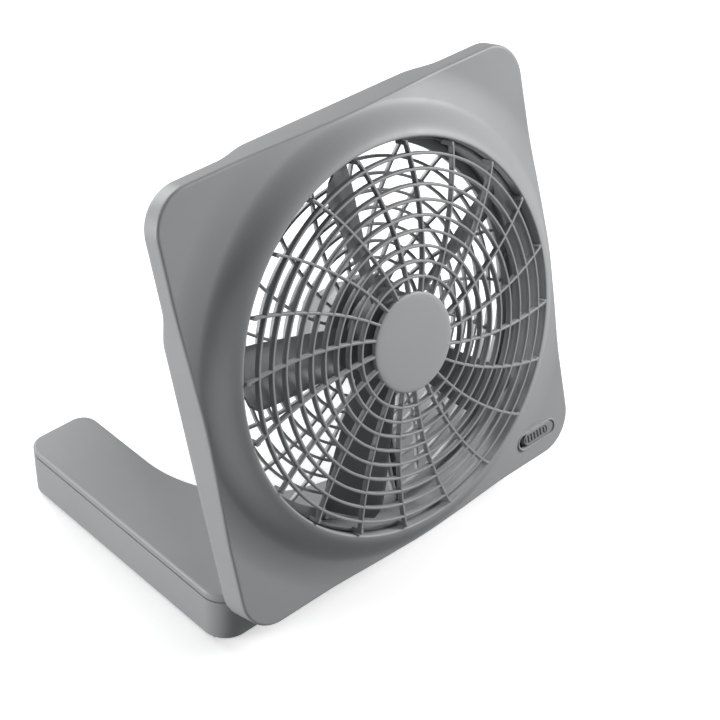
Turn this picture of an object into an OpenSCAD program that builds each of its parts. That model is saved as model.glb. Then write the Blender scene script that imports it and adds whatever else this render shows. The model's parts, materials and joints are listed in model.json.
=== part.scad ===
// Folding battery desk box fan: a square housing that leans on a fold-out
// U-shaped battery base. Millimetres, +Z up, the air blows towards -Y.
// The origin is on the surface it stands on, in the middle of the front foot.

/* [Housing] */
// Width and height of the square housing
housing_w = 292; // [240:1:352]
// Radius of the housing's four corners
housing_corner_r = 26; // [15:1:40]
// Width of the housing's frame beside the round air opening
frame_w = 21; // [16:0.5:30]
// How far the rim of the opening stands in front of the flat corners
swell_h = 18; // [8:0.5:24]
// Radial width of the steep slope beside the rim
swell_w = 22; // [14:1:40]
// Radial width over which the rest of the front falls to the flat corners
fade_w = 42; // [30:1:60]
// Depth of the thin upper corners behind the flat front
flange_depth = 13; // [8:0.5:16]
// Depth of the thick part of the housing behind the flat front
body_depth = 20; // [16:0.5:30]
// Wall thickness of the housing shells
shell_t = 2.5; // [1.5:0.1:3]
// Half width of the deep part along the top
top_bump_w = 62; // [40:1:80]
// Height above the fan's axis up to which the sides are deep
side_bump_v = 50; // [30:1:70]
// Length of the sloped ends of the deep parts
bump_slope = 27; // [10:1:40]

/* [Front grille] */
// Diameter of the plain disc in the middle of the grille
hub_disc_d = 64; // [40:1:90]
// Number of rings between the disc and the rim
ring_count = 9; // [5:1:12]
// Number of curved spokes
spoke_count = 20; // [12:2:28]
// Width of each grille bar
bar_w = 1.8; // [1.2:0.1:3]
// Depth of each grille bar
bar_depth = 4; // [2.5:0.5:6]
// How far the middle of the grille stands in front of its rim
dome_h = 6.5; // [0:0.5:12]
// Angle that a spoke turns through between the disc and the rim
spoke_swirl = 13.5; // [0:0.5:30]

/* [Impeller and motor] */
// Number of blades
blade_count = 5; // [3:1:7]
// Gap between the blade tips and the air opening
tip_gap = 8; // [4:0.5:14]
// Diameter of the impeller's hub
impeller_hub_d = 56; // [46:1:70]
// Length of the impeller along the axis
impeller_l = 22; // [16:0.5:23]
// Diameter of the motor's shaft
shaft_d = 3; // [2:0.1:5]
// Diameter of the motor's can
motor_d = 36; // [28:1:40]
// Radial clearance of the shaft in its bushes
shaft_clear = 0.03; // [0.01:0.01:0.08]

/* [Base] */
// Width of the base
base_w = 294; // [245:1:354]
// Length of the base from front to back
base_l = 207; // [206:1:250]
// Height left free above and below the cells inside the base
cell_room = 1.7; // [0.9:0.1:8]
// Thickness of the rubber feet
foot_h = 1; // [0.5:0.1:3]
// Distance of the front foot's middle from the base's front
front_foot_inset = 10; // [8:0.5:14]
// Width of each arm beyond the width of its cells
arm_room = 16.4; // [14:0.2:30]
// Radius of the base's two front corners
base_front_r = 18; // [8:1:24]
// Radius of the corners at the ends of the arms
arm_end_r = 12; // [5:1:20]
// Wall thickness of the base's shells
base_wall = 2; // [1.5:0.1:3]
// Thickness of the base's floor, of its doors and of its lid
base_floor_t = 1.6; // [1.2:0.1:1.8]
// Height of the base's lid above the seam
lid_h = 6; // [4:0.5:10]

/* [Batteries] */
// Diameter of a D cell
cell_d = 33.6; // [32:0.1:34.2]
// Length of a D cell over its contacts
cell_l = 61.5; // [59:0.5:61.5]

/* [Hinge] */
// Angle that the housing leans back from upright
lean = 15.5; // [5:0.5:30]
// Depth of the hinge axis below the base's top
hinge_drop = 8; // [7.5:0.5:12]
// Distance of the hinge axis from the base's front
hinge_inset = 4.5; // [3.5:0.5:6]
// Height of the hinge axis above the housing's lower edge
hinge_up = 12; // [10:0.5:16]
// Diameter of the hinge pins
pin_d = 5; // [4:0.1:6]
// Radial clearance of the pins in the housing's lugs
pin_clear = 0.05; // [0.02:0.01:0.1]
// Outer radius of the hinge lugs
lug_r = 6; // [5:0.5:6.5]
// Width of each hinge lug
lug_w = 16; // [10:1:20]
// Distance of each lug from the middle
lug_x = 78; // [50:1:85]
// Gap between the base's front edge and the housing's back as it folds
fold_gap = 0.4; // [0.3:0.1:3]

/* [Switch] */
// Length of the switch's slot
slot_l = 34; // [28:1:40]
// Width of the switch's slot
slot_w = 9.6; // [7:0.1:12]
// Length that the slider travels over its three positions
slider_travel = 4.6; // [2:0.1:6]
// Gap round the slider in its slot
slider_gap = 0.35; // [0.2:0.05:0.5]
// Distance of the slot's middle from the housing's right side
switch_in = 33; // [30:0.5:46]
// Distance of the slot's middle from the housing's lower edge
switch_up = 18; // [16:0.5:24]

/* [Power inlet] */
// Diameter of the socket's opening
jack_d = 5.6; // [5:0.1:6.5]
// Depth of the socket
jack_l = 9.5; // [8:0.5:12]

/* [Hidden] */

body_grey = [0.62, 0.63, 0.64];
grille_grey = [0.60, 0.61, 0.62];
blade_grey = [0.40, 0.41, 0.42];
steel = [0.75, 0.75, 0.77];
black = [0.12, 0.12, 0.13];
brass = [0.78, 0.66, 0.36];

eps = 0.01;              // overlap that keeps cuts clean
far = 400;               // longer than anything it has to cut through
$fn = 96;

// Housing levels along the fan's axis, 0 at the rim of the opening
opening_r = housing_w / 2 - frame_w;
flat_n = -swell_h;
flange_n = flat_n - flange_depth;
rear_n = flat_n - body_depth;
inner_n = rear_n + shell_t;
duct_r = opening_r + shell_t;
swell_steps = 14;
steep_share = 0.6;       // share of the swell's height that the steep slope takes

// Rear grille and what it carries
grille_seat = 4;         // width of the ledge that the rear grille's rim sits on
rear_hole_r = opening_r - grille_seat;
rim_t = 2;               // thickness of that rim
rear_clear = 0.3;        // gap between the rear grille and the parts round it
rear_ring_count = 7;
mount_r = 34;            // radius of the plate that carries the motor
strut_w = 9;             // width of the strut that carries the leads
groove_w = 4;            // width of the groove for the leads
cover_depth = 7;         // depth of the motor cover behind the housing
plate_hole_r = 8.5;      // hole in the motor's plate behind the rear bush

// Front grille
rim_rise = 1.5;          // height of the grille's edge in front of the rim
spoke_start = 10.5;      // angle at which the first spoke leaves the disc
grille_edge_r = opening_r - 0.4;
ring_pitch = (opening_r - hub_disc_d / 2) / (ring_count + 1);
cap_t = 2;               // thickness of the plain disc
cap_front = rim_rise + dome_h + 0.2;
grille_back = -10;       // back of the thin ring that lines the duct

// Motor, measured back from the impeller
motor_front_gap = 2.5;
hub_t = 2;
impeller_r = opening_r - tip_gap;
impeller_front = -6;
blade_start = 26;
impeller_back = impeller_front - impeller_l;
motor_front = impeller_front - hub_t - motor_front_gap;
motor_r = motor_d / 2;
can_t = 1;
bush_r = 4;
bush_l = 4;
magnet_t = 2.5;
magnet_gap = 0.8;
lead_r = 1.4;
armature_r = motor_r - can_t - magnet_t - magnet_gap;

// Base levels
floor_z = foot_h;
base_top = foot_h + 2 * base_floor_t + cell_d + cell_room;
tray_top = base_top - lid_h;
lid_inner = base_top - base_floor_t;
arm_w = cell_d + arm_room;
cutout_r = base_w / 2 - arm_w;
arm_x = base_w / 2 - arm_w / 2;
base_front = -front_foot_inset;
base_back = base_front + base_l;
cell_z = floor_z + base_floor_t + cell_room / 4 + cell_d / 2;
cells_per_arm = 3;
spring_l = 7;
plate_t = 0.8;
stop_t = 1.6;            // thickness of the wall in front of each row of cells
row_back = base_back - base_wall - plate_t;
row_front = row_back - cells_per_arm * cell_l - spring_l - plate_t;

// Battery doors
door_w = cell_d + 1.2;
door_lip = 1.2;          // how far the door's rails reach past its opening
door_clear = 0.3;
rail_t = 1.2;
door_front = row_front + 1;
door_travel = 14;

// Hinge
hinge_y = base_front + hinge_inset;
hinge_z = base_top - hinge_drop;
hinge_below = housing_w / 2 - hinge_up;
hinge_back = norm([hinge_inset, hinge_drop]) - rear_n + fold_gap;
slot_clear = 0.8;
stop_gap = 0.1;          // gap at the stop that holds the housing open
block_l = 7;
pin_l = lug_w + 2 * slot_clear + 2 * block_l;
socket_r = 5;
socket_z = foot_h + 16;
socket_box = 12;
socket_l = jack_l + 4.3;
web_back = hinge_y + hinge_below - cutout_r;
seam_gap = 0.2;          // gap between the tray's blocks and the lid
block_front = base_front + 0.5;
block_back = hinge_y + lug_r + slot_clear + 1.5;

// Screws
boss_r = 4;
thread_gap = 0.05;       // radial gap of a screw in its hole
screw_r = 1.35;
base_screw_r = 1.05;
base_head_r = 2.1;
rim_screw_r = 0.8;
screw_head_r = 2.8;
screw_head_t = 1.6;
boss_near = min(side_bump_v, top_bump_w) - boss_r - 1;
boss_far = housing_w / 2 - shell_t - boss_r - 3;
slider_l = slot_l - slider_travel - 2 * slider_gap;
slider_top = 0.8;        // height of the slider's ends in front of the housing
rim_w = 1.6;             // width of the raised rim round the switch's slot
rim_h = 1.5;             // height of that rim
switch_u = housing_w / 2 - switch_in;
switch_v = housing_w / 2 - switch_up;
switch_n = front_n(norm([switch_u, switch_v]));
board_t = 1.6;
board_level = -12;       // the switch board's front face, from the housing's front
board_shift = -4;        // the board reaches further towards the middle
board_inset = shell_t + 0.8;
post_x = slot_l / 2 + 2.2;
post_r = 2;
board_l = 2 * (post_x + 3 - board_shift);

// Base's screws and feet
web_screw_y = base_front + 25;
arm_boss_r = 2.6;
arm_boss_x = base_w / 2 - base_wall - arm_boss_r + 1.2; // the bosses join the wall
foot_w = 4;
foot_l = 16;

function smooth(t) = let(s = min(max(t, 0), 1)) s * s * (3 - 2 * s);
// Height of the housing's front at a distance from the fan's axis
function front_n(r) = -swell_h * (steep_share * smooth((r - opening_r) / swell_w)
    + (1 - steep_share) * smooth((r - opening_r) / fade_w));
// Height of the front grille's front face
function dome_n(r) = rim_rise + dome_h * (1 - pow(r / opening_r, 2));
// Angle of a spoke at a distance from the fan's axis
function swirl(r) = spoke_swirl * (r - hub_disc_d / 2) / (opening_r - hub_disc_d / 2);

// ---- Helpers ----

module in_housing() {
    translate([0, hinge_y, hinge_z]) rotate([90 - lean, 0, 0])
        translate([0, hinge_below, hinge_back]) children();
}

module round_square(w, l, r) {
    square([w - 2 * r, l], center = true);
    square([w, l - 2 * r], center = true);
    for (x = [-1, 1], y = [-1, 1])
        translate([x * (w / 2 - r), y * (l / 2 - r)]) circle(r);
}

module slab(from, to) {
    translate([0, 0, from]) linear_extrude(to - from) children();
}

module tube(r_in, r_out, from, to) {
    translate([0, 0, from]) difference() {
        cylinder(r = r_out, h = to - from);
        translate([0, 0, -1]) cylinder(r = r_in, h = to - from + 2);
    }
}

module disc(r, from, to) {
    translate([0, 0, from]) cylinder(r = r, h = to - from);
}

module slot_shape(l, w) {
    square([l - w, w], center = true);
    for (x = [-1, 1]) translate([x * (l - w) / 2, 0]) circle(w / 2);
}

// A round lead swept along a list of points
module lead(points, r, sides = 8) {
    count = len(points);
    function heading(i) = let(
        a = points[max(i - 1, 0)],
        b = points[min(i + 1, count - 1)]) (b - a) / norm(b - a);
    function side_of(d) = let(
        s = cross(d, abs(d[2]) < 0.9 ? [0, 0, 1] : [1, 0, 0])) s / norm(s);
    ring_points = [for (i = [0 : count - 1])
        let(d = heading(i), s = side_of(d), u = cross(s, d))
        for (k = [0 : sides - 1])
            points[i] + r * (cos(360 * k / sides) * s + sin(360 * k / sides) * u)];
    walls = [for (i = [0 : count - 2], k = [0 : sides - 1])
        let(n = (k + 1) % sides)
        [i * sides + k, (i + 1) * sides + k, (i + 1) * sides + n, i * sides + n]];
    start_cap = [for (k = [0 : sides - 1]) k];
    end_cap = [for (k = [sides - 1 : -1 : 0]) (count - 1) * sides + k];
    polyhedron(ring_points, concat(walls, [start_cap], [end_cap]), convexity = 4);
}

// ---- Housing ----

// Everything behind the housing's front face, lowered by an amount
module behind_front(lower = 0) {
    rotate_extrude($fn = 180) polygon(concat(
        [[0, -far], [far, -far], [far, flat_n - lower]],
        [for (i = [swell_steps : -1 : 0])
            let(r = opening_r + fade_w * i / swell_steps) [r, front_n(r) - lower]],
        [[0, -lower]]));
}

// Outline of the deep part's sloped end
function bump_edge(start, sign) = [for (i = [0 : 5])
    [sign * (start + bump_slope * i / 5),
     rear_n + (flange_n - rear_n) * smooth(i / 5)]];

// The housing's depth: thin upper corners, deep top middle, deep sides and bottom
module depth_shape(lift = 0) {
    edge = bump_edge(top_bump_w, 1);
    mirrored = [for (i = [5 : -1 : 0]) [-edge[i][0], edge[i][1]]];
    translate([0, 0, lift]) {
        translate([-far / 2, -far / 2, flange_n]) cube([far, far, -flange_n + 5]);
        translate([0, far / 2, 0]) rotate([90, 0, 0]) linear_extrude(far / 2)
            polygon(concat([[edge[5][0], flange_n + 1]], [[-edge[5][0], flange_n + 1]],
                mirrored, edge));
        rotate([90, 0, 90]) linear_extrude(far, center = true)
            polygon(concat([[-far / 2, flange_n + 1], [-far / 2, rear_n]],
                bump_edge(side_bump_v, 1), [[side_bump_v + bump_slope, flange_n + 1]]));
    }
}

module housing_bosses(r, from, to) {
    for (p = [[boss_far, boss_near], [boss_near, boss_far]], x = [-1, 1], y = [-1, 1])
        translate([x * p[0], y * p[1], 0]) disc(r, from, to);
}

module switch_place() {
    translate([switch_u, -switch_v, switch_n]) children();
}

module switch_posts() {
    for (x = [-1, 1]) translate([x * post_x, 0, 0]) children();
}

module front_shell() color(body_grey) in_housing() {
    front_shell_walls();
    // Ledge that the front grille's ring sits on
    tube(opening_r - 1.4, opening_r + eps, grille_back - 1.8, grille_back);
}

module front_shell_walls() difference() {
    union() {
        intersection() {
            slab(rear_n, 0) round_square(housing_w, housing_w, housing_corner_r);
            behind_front();
            depth_shape();
            difference() {
                slab(rear_n - 1, 1) square(far, center = true);
                intersection() {
                    slab(rear_n - 2, 1) round_square(housing_w - 2 * shell_t,
                        housing_w - 2 * shell_t, housing_corner_r - shell_t);
                    behind_front(shell_t);
                }
            }
        }
        intersection() {
            union() {
                disc(duct_r, inner_n, 0);
                housing_bosses(boss_r, inner_n, 0);
            }
            behind_front(shell_t / 2);
        }
        tube(opening_r, duct_r, inner_n, 0);
        switch_place() {
            slab(-shell_t, rim_h) slot_shape(slot_l + 2 * rim_w, slot_w + 2 * rim_w);
            switch_posts() disc(post_r, board_level, -shell_t + eps);
        }
    }
    disc(opening_r, -far, far);
    housing_bosses(screw_r + thread_gap, inner_n - 1, inner_n + 13);
    switch_place() {
        slab(-shell_t - 1, rim_h + 1) slot_shape(slot_l, slot_w);
        switch_posts() disc(rim_screw_r + thread_gap, board_level - 1, -shell_t - 1);
    }
    lead_way(0);
}

// Way through the duct's walls for the motor's leads
module lead_way(further) {
    translate([-groove_w / 2, -duct_r - further - 1, inner_n])
        cube([groove_w, shell_t + further + 2, far]);
}

module rear_shell() color(body_grey) in_housing() difference() {
    union() {
        intersection() {
            slab(rear_n - 1, flange_n + 8) round_square(housing_w - 2 * shell_t - 2 * rear_clear,
                housing_w - 2 * shell_t - 2 * rear_clear, housing_corner_r - shell_t - rear_clear);
            difference() {
                depth_shape();
                depth_shape(shell_t);
            }
        }
        tube(duct_r + rear_clear, duct_r + rear_clear + shell_t, rear_n, flange_n + shell_t);
        disc(duct_r + rear_clear + shell_t, rear_n, inner_n);
        for (x = [-1, 1]) hinge_lug(x * lug_x);
    }
    disc(rear_hole_r, -far, far);
    translate([0, 0, inner_n]) disc(duct_r + rear_clear, 0, far);
    lead_way(rear_clear + shell_t);
    housing_bosses(screw_r + rear_clear, rear_n - 1, inner_n + 1);
    housing_bosses(screw_head_r + 0.2, rear_n - 1, rear_n + screw_head_t);
    rim_screw_places() disc(rim_screw_r + thread_gap, inner_n - 1.9, inner_n + 1);
    for (x = [-1, 1]) translate([x * lug_x, -hinge_below, -hinge_back]) rotate([0, 90, 0])
        cylinder(d = pin_d + 2 * pin_clear, h = lug_w + 2, center = true);
}

module hinge_lug(x) {
    translate([x, -hinge_below, -hinge_back]) {
        rotate([0, 90, 0]) cylinder(r = lug_r, h = lug_w, center = true);
        translate([-lug_w / 2, -lug_r, 0]) cube([lug_w, 2 * lug_r, hinge_back + rear_n + 1]);
    }
}

module housing_screws() color(steel) in_housing() {
    housing_bosses(screw_r, rear_n + screw_head_t - eps, inner_n + 11);
    housing_bosses(screw_head_r, rear_n, rear_n + screw_head_t);
}

// ---- Grilles ----

// One spoke's outline from an inner to an outer radius, turning one way
module spoke(r_in, r_out, turn, w) {
    steps = 4;
    function at(i, side) = let(
        r = r_in + (r_out - r_in) * i / steps,
        a = turn * swirl(r))
        [r * cos(a) - side * w / 2 * sin(a), r * sin(a) + side * w / 2 * cos(a)];
    polygon(concat([for (i = [0 : steps]) at(i, -1)], [for (i = [steps : -1 : 0]) at(i, 1)]));
}

module front_grille() color(grille_grey) in_housing() difference() {
    front_grille_bars();
    disc(hub_disc_d / 2 + 0.1, cap_front - cap_t, far);
}

module front_grille_bars() {
    r_hub = hub_disc_d / 2;
    profile = [0, 0.35, 0.7, 1];
    intersection() {
        rotate_extrude($fn = 180) polygon(concat(
            [for (t = profile) [grille_edge_r * t, dome_n(grille_edge_r * t)]],
            [for (i = [3 : -1 : 0]) [grille_edge_r * profile[i],
                dome_n(grille_edge_r * profile[i]) - bar_depth]]));
        union() {
            disc(r_hub - 0.8, -far / 2, far / 2);
            for (k = [1 : ring_count])
                tube(r_hub + k * ring_pitch - bar_w / 2, r_hub + k * ring_pitch + bar_w / 2,
                    -far / 2, far / 2);
            for (k = [0 : spoke_count - 1]) rotate([0, 0, spoke_start + k * 360 / spoke_count])
                slab(-far / 2, far / 2) spoke(r_hub - 1, opening_r, 1, bar_w);
        }
    }
    // The spokes' ends turn back and join a thin ring that lines the duct
    tube(grille_edge_r - 1.6, grille_edge_r, grille_back, grille_back + 2.5);
    for (k = [0 : spoke_count - 1])
        rotate([0, 0, spoke_start + k * 360 / spoke_count + swirl(grille_edge_r)])
            translate([grille_edge_r - 3.2, -bar_w / 2, grille_back])
                cube([2.8, bar_w, rim_rise + 0.2 - grille_back]);
}

module hub_cap() color(grille_grey) in_housing()
    disc(hub_disc_d / 2, cap_front - cap_t, cap_front);

module rear_grille() color(grille_grey) in_housing() difference() {
    union() {
        tube(rear_hole_r - 3, rear_hole_r - rear_clear, rear_n + 0.2, inner_n + rim_t);
        tube(rear_hole_r - 3, opening_r - rear_clear, inner_n, inner_n + rim_t);
        pitch = (rear_hole_r - 2 - mount_r) / (rear_ring_count + 1);
        for (k = [1 : rear_ring_count])
            tube(mount_r + k * pitch - bar_w / 2, mount_r + k * pitch + bar_w / 2,
                rear_n + 0.2, inner_n + 1);
        for (k = [0 : spoke_count - 1]) rotate([0, 0, (k + 0.5) * 360 / spoke_count])
            slab(rear_n + 0.2, inner_n + 1) spoke(mount_r - 1, rear_hole_r - 1.5, -1.4, bar_w);
        disc(mount_r, rear_n, inner_n);
        translate([-strut_w / 2, -rear_hole_r + 1.5, rear_n + 0.2])
            cube([strut_w, rear_hole_r - mount_r, shell_t + 1.6]);
    }
    // Groove for the leads, and the holes in the motor's plate
    translate([-groove_w / 2, -far, inner_n - 1.4]) cube([groove_w, far - 24, 10]);
    translate([-groove_w / 2, -29, rear_n - 1]) cube([groove_w, 7, 10]);
    disc(plate_hole_r, rear_n - 1, inner_n + 1);
    motor_screw_places() disc(screw_r + rear_clear, rear_n - 1, inner_n + 1);
    rim_screw_places() disc(rim_screw_r + rear_clear, rear_n - 1, inner_n + rim_t + 1);
}

module motor_screw_places() {
    for (x = [-1, 1]) translate([x * motor_r * 0.65, 0, 0]) children();
}

module rim_screw_places() {
    for (a = [0 : 60 : 300]) rotate([0, 0, a]) translate([opening_r - 2.2, 0, 0]) children();
}

module grille_screws() color(steel) in_housing() rim_screw_places() {
    disc(rim_screw_r, inner_n - 1.8, inner_n + rim_t + eps);
    disc(1.6, inner_n + rim_t, inner_n + rim_t + 0.9);
}

module motor_cover() color(body_grey) in_housing() difference() {
    union() {
        disc(mount_r - 1, rear_n - cover_depth + 2, rear_n);
        translate([0, 0, rear_n - cover_depth]) cylinder(r1 = mount_r - 3, r2 = mount_r - 1, h = 2);
    }
    disc(mount_r - 3, rear_n - cover_depth + 2, rear_n + 1);
    for (a = [-60 : 30 : 240]) rotate([0, 0, a]) translate([16, 0, rear_n - cover_depth - 1])
        slab(0, 4) translate([4, 0]) slot_shape(14, 2.4);
}

// ---- Motor and impeller ----

module motor_can() color(steel) in_housing() difference() {
    disc(motor_r, inner_n, motor_front);
    disc(motor_r - can_t, inner_n - 1, motor_front - can_t);
    disc(bush_r, motor_front - can_t - 1, motor_front + 1);
}

module motor_magnets() color([0.25, 0.25, 0.27]) in_housing() difference() {
    tube(motor_r - can_t - magnet_t, motor_r - can_t, inner_n + 5, motor_front - can_t - 2);
    translate([-far / 2, -4, -far / 2]) cube([far, 8, far]);
}

module motor_end_cap() color(black) in_housing() difference() {
    disc(motor_r - can_t, inner_n, inner_n + 3);
    disc(bush_r, inner_n - 1, inner_n + 4);
    motor_screw_places() disc(screw_r + thread_gap, inner_n - 1, inner_n + 2);
}

module bush(from) {
    tube(shaft_d / 2 + shaft_clear, bush_r, from, from + bush_l);
}

module front_bush() color(brass) in_housing() bush(motor_front - bush_l + 0.8);
module rear_bush() color(brass) in_housing() bush(inner_n);

module motor_screws() color(steel) in_housing() motor_screw_places() {
    disc(screw_r, rear_n - eps, inner_n + 1.8);
    disc(screw_head_r, rear_n - screw_head_t, rear_n);
}

module motor_shaft() color(steel) in_housing()
    disc(shaft_d / 2, inner_n + 0.6, impeller_front - 0.5);

module motor_armature() color([0.45, 0.42, 0.40]) in_housing() difference() {
    disc(armature_r, inner_n + 8, motor_front - can_t - bush_l);
    disc(shaft_d / 2, inner_n + 7, motor_front);
    for (a = [0 : 120 : 359]) rotate([0, 0, a]) translate([armature_r, 0, inner_n + 7])
        linear_extrude(far) square([7, 2], center = true);
}

module commutator() color(brass) in_housing()
    tube(shaft_d / 2, 4, inner_n + bush_l + 0.6, inner_n + 8);

module blade() {
    // A curved plate, tilted about its own length
    mid = (impeller_front + impeller_back) / 2;
    camber_r = 70;
    intersection() {
        difference() {
            disc(impeller_r, impeller_back, impeller_front);
            disc(impeller_hub_d / 2 - 1, impeller_back - 1, impeller_front + 1);
        }
        slab(impeller_back, impeller_front) polygon([[10, -10], [10, 10],
            [impeller_r * 0.6, 14], [impeller_r, 18], [impeller_r + 7, 0],
            [impeller_r, -16], [impeller_r * 0.6, -13]]);
        translate([0, 1, mid]) rotate([34, 0, 0]) translate([0, 0, -camber_r + 2])
            rotate([0, 90, 0]) difference() {
                cylinder(r = camber_r, h = far);
                translate([0, 0, -1]) cylinder(r = camber_r - 1.8, h = far + 2);
                translate([0, -far / 2, -far / 2]) cube([far, far, 2 * far]);
            }
    }
}

module impeller() color(blade_grey) in_housing() difference() {
    union() {
        difference() {
            union() {
                disc(impeller_hub_d / 2, impeller_back + 4, impeller_front);
                for (k = [0 : blade_count - 1]) rotate([0, 0, blade_start + k * 360 / blade_count]) blade();
            }
            disc(impeller_hub_d / 2 - hub_t, impeller_back - 1, impeller_front - hub_t);
        }
        disc(5, impeller_front - hub_t - 1.2, impeller_front);
    }
    disc(shaft_d / 2, impeller_back, impeller_front - 0.5);
}

module motor_leads() color(black) in_housing()
    lead([[0, -6.4, inner_n], [0, -6.4, rear_n - 0.4], [0, -9, rear_n - 3],
        [0, -14, rear_n - 3.4], [0, -20, rear_n - 3], [0, -25, rear_n - 1],
        [0, -28, inner_n + 0.2], [0, -36, inner_n + 0.3],
        [0, 16 - opening_r, inner_n + 0.3], [0, 10.5 - opening_r, inner_n + 1],
        [0, 7 - opening_r, inner_n + 3.4], [0, -opening_r, inner_n + rim_t + lead_r + 0.4],
        [0, -opening_r - 7, inner_n + rim_t + lead_r + 0.4], [3, -opening_r - 9, inner_n + 4.4],
        [8, -opening_r - 10, inner_n + 5], [26, -opening_r - 8.4, inner_n + 5],
        [0.45 * switch_u, -switch_v - 0.6, inner_n + 5], [0.6 * switch_u, 2 - switch_v, inner_n + 5],
        [switch_u + board_shift - board_l / 2, 2 - switch_v, inner_n + 5]], lead_r);

// ---- Switch ----

module switch_slider() color(body_grey) in_housing() switch_place()
    translate([slider_travel / 2, 0, 0]) {
        difference() {
            slab(-4, slider_top) slot_shape(slider_l, slot_w - 2 * slider_gap);
            slab(slider_top - 0.8, far) translate([-2.6, 0]) slot_shape(slider_l - 7, slot_w - 2.6);
        }
        // Ribs for the thumb
        for (i = [0 : 6]) translate([-12 + i * 3, 0, slider_top - 0.9])
            linear_extrude(1.1) square([1.2, slot_w - 4.2], center = true);
        // Plate that keeps the slider in its slot, and the peg that works the switch
        slab(-shell_t - 1.5, -shell_t - 0.3) square([slider_l - 2, slot_w + 3], center = true);
        slab(board_level + 5.8, -3) square([3, 4], center = true);
    }

module switch_body() color(black) in_housing() switch_place()
    translate([0, 0, board_level]) difference() {
        linear_extrude(6.5) square([slot_l - 8, 9], center = true);
        translate([0, 0, 5.3]) linear_extrude(2) square([slot_l - 12, 5], center = true);
    }

module control_board() color([0.1, 0.35, 0.2]) in_housing() switch_place() difference() {
    slab(board_level - board_t, board_level) intersection() {
        translate([board_shift, 0]) square([board_l, 12], center = true);
        // The board's corner follows the inside of the housing's corner
        translate([-switch_u, switch_v]) round_square(housing_w - 2 * board_inset,
            housing_w - 2 * board_inset, housing_corner_r - board_inset);
    }
    switch_posts() disc(rim_screw_r + rear_clear, board_level - board_t - 1, board_level + 1);
}

module switch_screws() color(steel) in_housing() switch_place() switch_posts() {
    disc(rim_screw_r, board_level - board_t - eps, -shell_t - 2);
    disc(1.7, board_level - board_t - 1.2, board_level - board_t);
}

module speed_resistor() color([0.8, 0.78, 0.7]) in_housing() switch_place()
    translate([board_shift - board_l / 2 + 2.6, 0, board_level]) {
        translate([0, 4.5, 2.4]) rotate([90, 0, 0]) cylinder(r = 1.6, h = 9);
        for (y = [-3.5, 3.5]) translate([0, y, 0]) disc(0.4, 0, 2.4);
    }

// ---- Base ----

module base_outline(inset = 0) {
    arm_from = base_l / 2;
    web_l = hinge_inset + hinge_below + 20;
    cut_y = hinge_y + hinge_below;
    difference() {
        union() {
            translate([0, base_front + web_l / 2])
                round_square(base_w - 2 * inset, web_l - 2 * inset, base_front_r - inset);
            for (x = [-1, 1]) translate([x * arm_x, base_front + (arm_from + base_l) / 2])
                round_square(arm_w - 2 * inset, base_l - arm_from - 2 * inset, arm_end_r - inset);
        }
        translate([0, cut_y]) circle(cutout_r + inset, $fn = 180);
        translate([-cutout_r - inset, cut_y]) square([2 * (cutout_r + inset), far]);
    }
}

// Room for the housing's lugs. The slot's front edge is the stop that holds the housing open
module hinge_slots() {
    room = lug_w + 2 * slot_clear;
    r = lug_r + slot_clear;
    for (x = [-1, 1]) translate([x * lug_x, hinge_y, hinge_z]) {
        rotate([0, 90, 0]) cylinder(r = r, h = room, center = true);
        translate([-room / 2, -far, 0]) cube([room, far + r, far]);
        rotate([90 - lean, 0, 0]) translate([-room / 2, -lug_r - stop_gap, 0])
            cube([room, far, far]);
    }
}

module base_screw_places() {
    for (x = [-1, 1]) {
        for (d = [20, 55]) translate([x * d, web_screw_y, 0]) children();
        for (y = [base_back - 25, base_back - 120]) translate([x * arm_boss_x, y, 0]) children();
    }
}

module base_tray() color(body_grey) difference() {
    union() {
        difference() {
            slab(floor_z, tray_top) base_outline();
            slab(floor_z + base_floor_t, tray_top + 1) base_outline(base_wall);
        }
        // Blocks that hold the hinge pins
        intersection() {
            for (x = [-1, 1]) translate([x * lug_x - pin_l / 2, block_front, floor_z])
                cube([pin_l, block_back - block_front, lid_inner - floor_z]);
            union() {
                slab(floor_z, tray_top) square(2 * far, center = true);
                slab(floor_z, lid_inner) base_outline(base_wall + seam_gap);
            }
        }
        // Walls in front of the cells, and the power socket's pedestal
        for (x = [-1, 1]) translate([x * arm_x - arm_w / 2 + base_wall / 2, row_front - stop_t, floor_z])
            cube([arm_w - base_wall, stop_t, cell_z + 8 - floor_z]);
        translate([-socket_box / 2, web_back - 13, floor_z])
            cube([socket_box, 11.5, socket_z - socket_box / 2 - floor_z]);
        base_screw_places() disc(arm_boss_r, floor_z, tray_top);
    }
    hinge_slots();
    for (x = [-1, 1]) translate([x * lug_x, hinge_y, hinge_z]) rotate([0, 90, 0])
        cylinder(d = pin_d, h = pin_l, center = true);
    for (x = [-1, 1]) {
        translate([x * arm_x - door_w / 2 - door_clear, door_front - door_clear, floor_z - 1])
            cube([door_w + 2 * door_clear, far, base_floor_t + door_clear + 1]);
    }
    base_screw_places() disc(base_screw_r + thread_gap, floor_z - 1, tray_top + 1);
    base_screw_places() disc(base_head_r + thread_gap, floor_z - 1, floor_z + 1.2);
    socket_place() rotate([90, 0, 0]) cylinder(r = socket_r, h = 2 * base_wall + 1, center = true);
}

module base_lid() color(body_grey) difference() {
    union() {
        difference() {
            slab(tray_top, base_top) base_outline();
            slab(tray_top - 1, lid_inner) base_outline(base_wall);
        }
        base_screw_places() disc(arm_boss_r, tray_top, lid_inner + 0.5);
    }
    hinge_slots();
    base_screw_places() disc(base_screw_r + thread_gap, tray_top - 1, tray_top + 3);
}

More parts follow.
